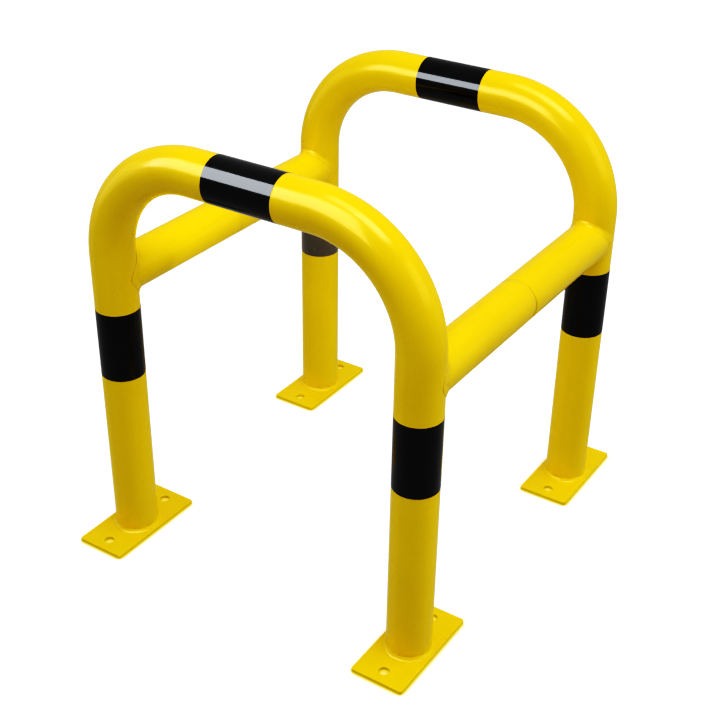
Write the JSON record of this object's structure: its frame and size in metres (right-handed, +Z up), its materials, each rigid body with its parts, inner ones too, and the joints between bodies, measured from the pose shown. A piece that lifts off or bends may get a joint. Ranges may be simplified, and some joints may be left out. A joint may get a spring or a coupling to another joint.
{
  "type": "column protection guard",
  "caption": "Steel tube guard that stands round a building column: two bent hoops on bolt-down plates, joined by rails that plug together, with warning bands.",
  "frame": {"origin": "on the floor, in the middle of the four legs, at the centre of the guard's underside", "axes": "+Z up; +Y along the rails, from the front half to the rear half; +X along the hoops, to the right"},
  "size_m": [0.542, 0.63, 0.6122],
  "materials": {
    "yellow_powder_coat": "gloss powder coat on steel, slight orange peel",
    "black_film": "gloss self-adhesive film, wrapped once round the tube with a small overlap",
    "zinc_plated_steel": "bright zinc plate with a drawn grain"
  },
  "bodies": {
    "front_half": {"front_hoop_tube": "yellow_powder_coat", "front_top_band": "black_film", "front_left_base_plate": "yellow_powder_coat", "front_left_foot_weld": "yellow_powder_coat", "front_left_leg_band": "black_film", "front_left_rail_stub": "yellow_powder_coat", "front_left_rail_weld": "yellow_powder_coat", "front_right_base_plate": "yellow_powder_coat", "front_right_foot_weld": "yellow_powder_coat", "front_right_leg_band": "black_film", "front_right_rail_stub": "yellow_powder_coat", "front_right_rail_weld": "yellow_powder_coat", "right_rail_spigot": "zinc_plated_steel"},
    "rear_half": {"rear_hoop_tube": "yellow_powder_coat", "rear_top_band": "black_film", "rear_left_base_plate": "yellow_powder_coat", "rear_left_foot_weld": "yellow_powder_coat", "rear_left_leg_band": "black_film", "rear_left_rail_stub": "yellow_powder_coat", "rear_left_rail_weld": "yellow_powder_coat", "rear_right_base_plate": "yellow_powder_coat", "rear_right_foot_weld": "yellow_powder_coat", "rear_right_leg_band": "black_film", "rear_right_rail_stub": "yellow_powder_coat", "rear_right_rail_weld": "yellow_powder_coat", "left_rail_spigot": "zinc_plated_steel"}
  },
  "joints": [
    {"name": "halves_slide", "type": "slide", "parent": "front_half", "child": "rear_half", "axis": [0, 1, 0], "range_m": [0, 0.15]}
  ]
}
